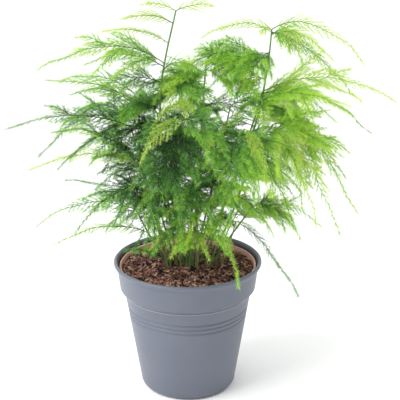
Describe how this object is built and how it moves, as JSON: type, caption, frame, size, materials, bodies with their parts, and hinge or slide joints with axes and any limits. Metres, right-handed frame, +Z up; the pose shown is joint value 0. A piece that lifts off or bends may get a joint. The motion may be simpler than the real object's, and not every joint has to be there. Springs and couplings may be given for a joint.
{
  "type": "potted asparagus fern",
  "caption": "Feathery asparagus fern growing in a nursery pot of soil that stands inside a tapered grey plastic pot.",
  "frame": {"origin": "centre of the outer pot's flat underside", "axes": "+Z up along the pot's axis, -Y the front that the picture shows, +X to the viewer's right"},
  "size_m": [0.3143, 0.2325, 0.3362],
  "materials": {
    "pot_plastic": "satin grey-blue moulded plastic with a fine grain",
    "nursery_plastic": "matt terracotta-coloured thin plastic",
    "soil": "damp dark peat with bark fibres and pale crumbs",
    "stem": "smooth wiry green stem, paler and browner at the foot",
    "leaf_deep": "soft blue-green needle-like leaves",
    "leaf_green": "soft mid-green needle-like leaves",
    "leaf_fresh": "soft bright green needle-like leaves",
    "leaf_lime": "soft lime-green new needle-like leaves",
    "leaf_young": "sparse pale yellow-green new needles"
  },
  "bodies": {
    "root": {"outer_pot": "pot_plastic", "nursery_pot": "nursery_plastic", "potting_soil": "soil", "tall_stem": "stem", "left_upper_stem": "stem", "left_mid_stem": "stem", "left_front_stem": "stem", "left_low_stem": "stem", "right_upper_stem": "stem", "right_mid_stem": "stem", "right_front_stem": "stem", "right_low_stem": "stem", "front_left_stem": "stem", "front_right_stem": "stem", "centre_stem": "stem", "back_left_stem": "stem", "back_right_stem": "stem", "back_stem": "stem", "front_low_stem": "stem", "crown_left_frond": "leaf_young", "crown_right_frond": "leaf_young", "crown_side_frond": "leaf_young", "left_arch_frond": "leaf_fresh", "left_comb_frond": "leaf_green", "left_back_frond": "leaf_deep", "left_long_frond": "leaf_deep", "left_reach_frond": "leaf_green", "left_fresh_frond": "leaf_lime", "left_turn_frond": "leaf_deep", "left_wisp_frond": "leaf_deep", "left_droop_frond": "leaf_green", "left_skirt_frond": "leaf_fresh", "left_sprig_frond": "leaf_deep", "right_arch_frond": "leaf_lime", "right_turn_frond": "leaf_lime", "right_inner_frond": "leaf_green", "right_long_frond": "leaf_lime", "right_reach_frond": "leaf_fresh", "right_curl_frond": "leaf_green", "right_droop_frond": "leaf_fresh", "right_fall_frond": "leaf_fresh", "right_level_frond": "leaf_green", "right_skirt_frond": "leaf_fresh", "right_thread_frond": "leaf_deep", "front_spear_frond": "leaf_lime", "front_fan_frond": "leaf_deep", "front_tassel_frond": "leaf_lime", "front_plume_frond": "leaf_green", "centre_high_frond": "leaf_green", "centre_turn_frond": "leaf_deep", "back_left_fan_frond": "leaf_deep", "back_right_fan_frond": "leaf_green", "back_right_low_frond": "leaf_deep", "back_fan_frond": "leaf_deep", "front_hanger_frond": "leaf_fresh", "front_drop_frond": "leaf_lime"}
  },
  "joints": []
}
